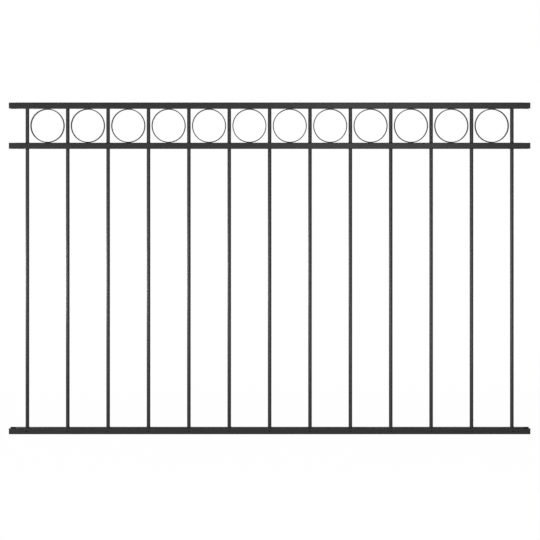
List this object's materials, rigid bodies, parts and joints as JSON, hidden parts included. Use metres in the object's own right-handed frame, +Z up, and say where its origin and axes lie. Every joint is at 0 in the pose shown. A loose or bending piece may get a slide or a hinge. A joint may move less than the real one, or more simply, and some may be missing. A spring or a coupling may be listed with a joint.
{
  "type": "picket fence panel",
  "caption": "Flat steel fence panel of tubular rails and round pickets, with a band of strip rings between its upper rails, for fixing between posts.",
  "frame": {"origin": "middle of the flat underside of the bottom rail", "axes": "+X along the rails, +Y to the back, so that the front with the locking screws faces -Y, +Z up along the pickets"},
  "size_m": [1.7, 0.025, 1.082],
  "materials": {
    "powder_coat": "satin black powder coat with a fine texture"
  },
  "bodies": {
    "root": {"top_rail": "powder_coat", "middle_rail": "powder_coat", "bottom_rail": "powder_coat", "top_rail_left_end": "powder_coat", "middle_rail_left_end": "powder_coat", "bottom_rail_left_end": "powder_coat", "top_rail_right_end": "powder_coat", "middle_rail_right_end": "powder_coat", "bottom_rail_right_end": "powder_coat", "picket_01": "powder_coat", "picket_02": "powder_coat", "picket_03": "powder_coat", "picket_04": "powder_coat", "picket_05": "powder_coat", "picket_06": "powder_coat", "picket_07": "powder_coat", "picket_08": "powder_coat", "picket_09": "powder_coat", "picket_10": "powder_coat", "picket_11": "powder_coat", "picket_12": "powder_coat", "picket_13": "powder_coat", "ring_01": "powder_coat", "ring_02": "powder_coat", "ring_03": "powder_coat", "ring_04": "powder_coat", "ring_05": "powder_coat", "ring_06": "powder_coat", "ring_07": "powder_coat", "ring_08": "powder_coat", "ring_09": "powder_coat", "ring_10": "powder_coat", "ring_11": "powder_coat", "ring_12": "powder_coat"}
  },
  "joints": []
}
